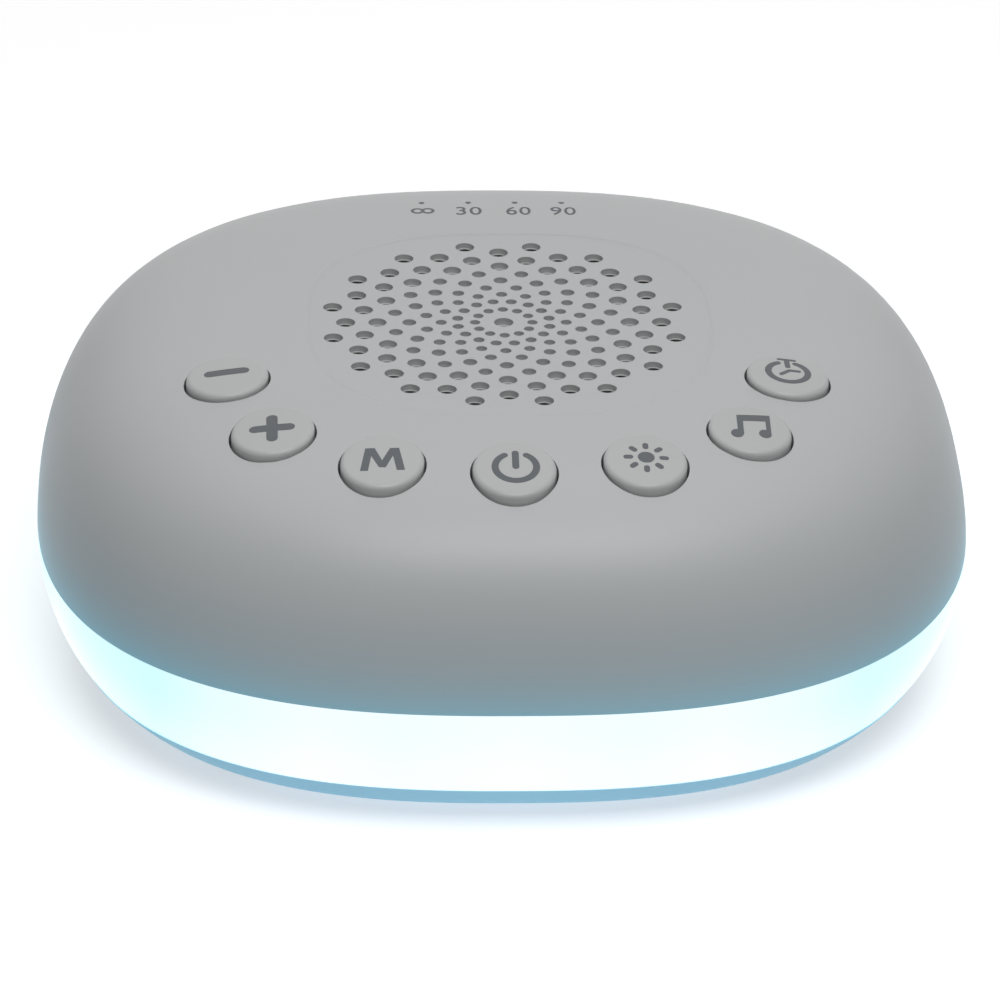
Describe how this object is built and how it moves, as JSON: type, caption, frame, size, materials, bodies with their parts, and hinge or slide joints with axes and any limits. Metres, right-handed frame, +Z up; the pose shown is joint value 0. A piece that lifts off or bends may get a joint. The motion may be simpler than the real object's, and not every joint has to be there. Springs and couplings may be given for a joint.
{
  "type": "sound machine",
  "caption": "Domed tabletop sound machine with a drilled speaker grille, an arc of push keys, timer lights and a glowing band above its base.",
  "frame": {"origin": "on the table, under the middle of the housing and of the grille", "axes": "+X to the right along the width, +Y to the back, +Z up; the key arc faces -Y"},
  "size_m": [0.12, 0.114, 0.0449],
  "materials": {
    "shell_plastic": "fine grained matte moulding",
    "band_plastic": "milky diffusing plastic, lit pale cyan",
    "base_plastic": "fine grained matte moulding",
    "key_plastic": "satin moulding",
    "black_plastic": "moulded",
    "circuit_board": "green solder resist",
    "screw_steel": "zinc plated",
    "lamp": "yellow-white phosphor",
    "clear_plastic": "clear moulding",
    "socket_steel": "nickel plated",
    "black_cloth": "open weave",
    "foam": "closed cell foam",
    "basket_steel": "black stamped steel",
    "magnet_steel": "zinc plated",
    "ferrite": "sintered",
    "cone_paper": "pressed pulp",
    "copper": "enamelled wire on a tube",
    "black_rubber": "matte",
    "spider_cloth": "resin treated weave",
    "white_board": "white solder resist",
    "white_plastic": "white reflecting moulding",
    "battery_film": "wrapped pouch cell",
    "lead_vinyl": "vinyl insulation"
  },
  "bodies": {
    "housing": {"top_shell": "shell_plastic", "light_band": "band_plastic", "base": "base_plastic", "key_switches": "black_plastic", "control_board": "circuit_board", "board_screws": "screw_steel", "board_parts": "black_plastic", "timer_lamps": "lamp", "light_guide": "clear_plastic", "usb_socket": "socket_steel", "usb_tongue": "black_plastic", "grille_cloth": "black_cloth", "speaker_gasket": "foam", "speaker_frame": "basket_steel", "speaker_top_plate": "magnet_steel", "speaker_magnet": "ferrite", "speaker_yoke": "magnet_steel", "speaker_surround": "black_rubber", "speaker_spider": "spider_cloth", "speaker_screws": "screw_steel", "lamp_board": "white_board", "band_lamps": "lamp", "lamp_reflector": "white_plastic", "battery": "battery_film", "battery_pad": "foam", "speaker_leads": "lead_vinyl", "battery_leads": "lead_vinyl", "lamp_leads": "lead_vinyl", "rubber_feet": "black_rubber", "base_screws": "screw_steel"},
    "volume_down": {"volume_down_key": "key_plastic", "volume_down_plunger": "black_plastic"},
    "volume_up": {"volume_up_key": "key_plastic", "volume_up_plunger": "black_plastic"},
    "mode": {"mode_key": "key_plastic", "mode_plunger": "black_plastic"},
    "power": {"power_key": "key_plastic", "power_plunger": "black_plastic"},
    "light": {"light_key": "key_plastic", "light_plunger": "black_plastic"},
    "sound": {"sound_key": "key_plastic", "sound_plunger": "black_plastic"},
    "timer": {"timer_key": "key_plastic", "timer_plunger": "black_plastic"},
    "cone": {"speaker_cone": "cone_paper", "speaker_dust_cap": "cone_paper", "voice_coil": "copper"}
  },
  "joints": [
    {"name": "volume_down_press", "type": "slide", "parent": "housing", "child": "volume_down", "axis": [0, 0, -1], "range_m": [0, 0.0006], "stiffness_N_per_m": 500},
    {"name": "volume_up_press", "type": "slide", "parent": "housing", "child": "volume_up", "axis": [0, 0, -1], "range_m": [0, 0.0006], "stiffness_N_per_m": 500},
    {"name": "mode_press", "type": "slide", "parent": "housing", "child": "mode", "axis": [0, 0, -1], "range_m": [0, 0.0006], "stiffness_N_per_m": 500},
    {"name": "power_press", "type": "slide", "parent": "housing", "child": "power", "axis": [0, 0, -1], "range_m": [0, 0.0006], "stiffness_N_per_m": 500},
    {"name": "light_press", "type": "slide", "parent": "housing", "child": "light", "axis": [0, 0, -1], "range_m": [0, 0.0006], "stiffness_N_per_m": 500},
    {"name": "sound_press", "type": "slide", "parent": "housing", "child": "sound", "axis": [0, 0, -1], "range_m": [0, 0.0006], "stiffness_N_per_m": 500},
    {"name": "timer_press", "type": "slide", "parent": "housing", "child": "timer", "axis": [0, 0, -1], "range_m": [0, 0.0006], "stiffness_N_per_m": 500},
    {"name": "cone_stroke", "type": "slide", "parent": "housing", "child": "cone", "axis": [0, 0, 1], "range_m": [-0.0005, 0.0005], "stiffness_N_per_m": 1800, "deforming": ["speaker_surround", "speaker_spider"]}
  ]
}
